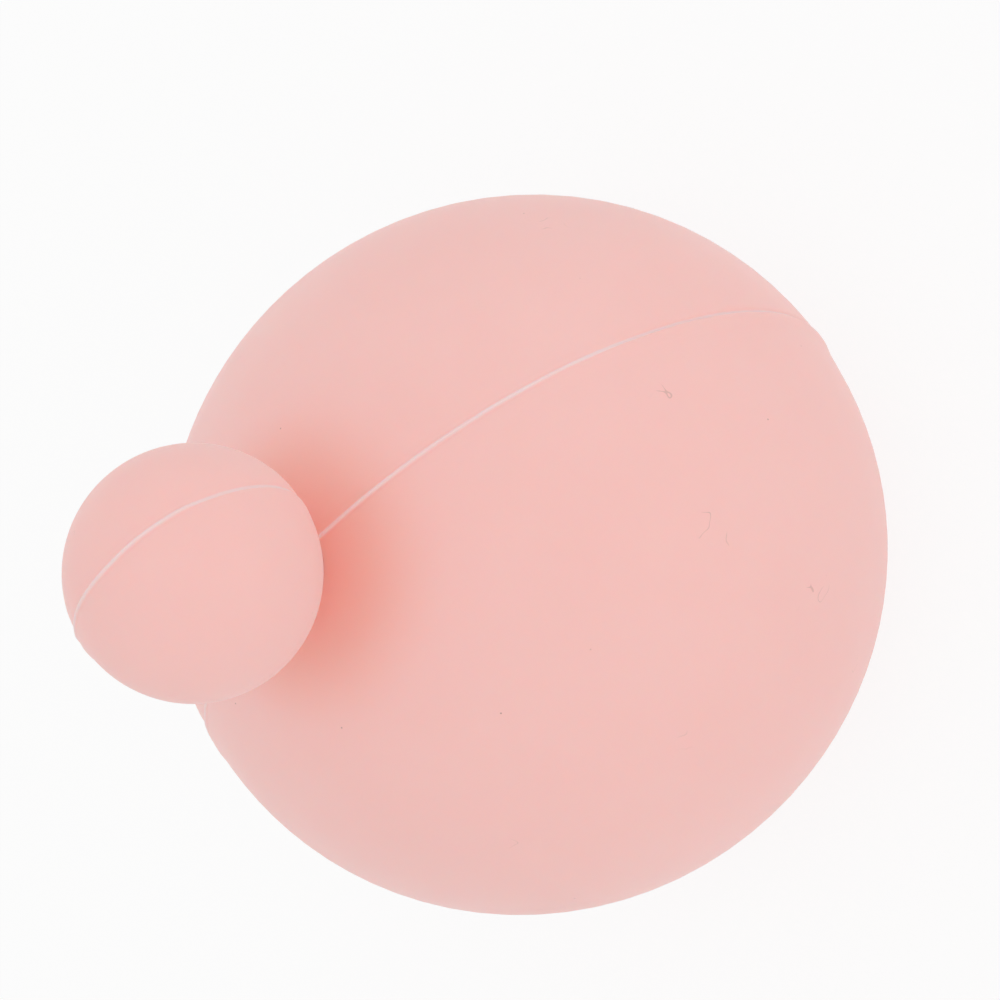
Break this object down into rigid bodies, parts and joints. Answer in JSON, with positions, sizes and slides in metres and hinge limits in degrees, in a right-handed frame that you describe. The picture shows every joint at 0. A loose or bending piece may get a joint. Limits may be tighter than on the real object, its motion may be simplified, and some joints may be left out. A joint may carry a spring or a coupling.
{
  "type": "silicone cupping cup",
  "caption": "Soft silicone cupping cup: hollow ball with an open thick-lipped mouth, and a ball knob on a flexing neck to press it down and lift it off.",
  "frame": {"origin": "centre of the mouth, in the plane of the flat foot that the cup rests on", "axes": "+Z along the cup's axis from the mouth to the knob; the mould's parting line lies in the XZ plane; the smooth side seen first is -Y"},
  "size_m": [0.07, 0.07, 0.0777],
  "materials": {
    "lip_silicone": "matte pale pink silicone, soft to the touch",
    "dome_silicone": "matte pale pink silicone, soft to the touch",
    "neck_silicone": "matte pink silicone",
    "knob_silicone": "matte pale pink silicone, soft to the touch"
  },
  "bodies": {
    "cup": {"mouth_lip": "lip_silicone", "dome_wall": "dome_silicone"},
    "neck": {"neck_stud": "neck_silicone"},
    "knob": {"ball_knob": "knob_silicone"}
  },
  "joints": [
    {"name": "press", "type": "slide", "parent": "cup", "child": "neck", "axis": [0, 0, -1], "range_m": [0, 0.014], "stiffness_N_per_m": 500, "deforming": ["dome_wall"]},
    {"name": "knob_tilt", "type": "hinge", "parent": "neck", "child": "knob", "pos_m": [0, 0, 0.0564], "axis": [0, 1, 0], "range_deg": [-20, 20], "stiffness_Nm_per_rad": 0.13, "deforming": ["neck_stud"]}
  ]
}
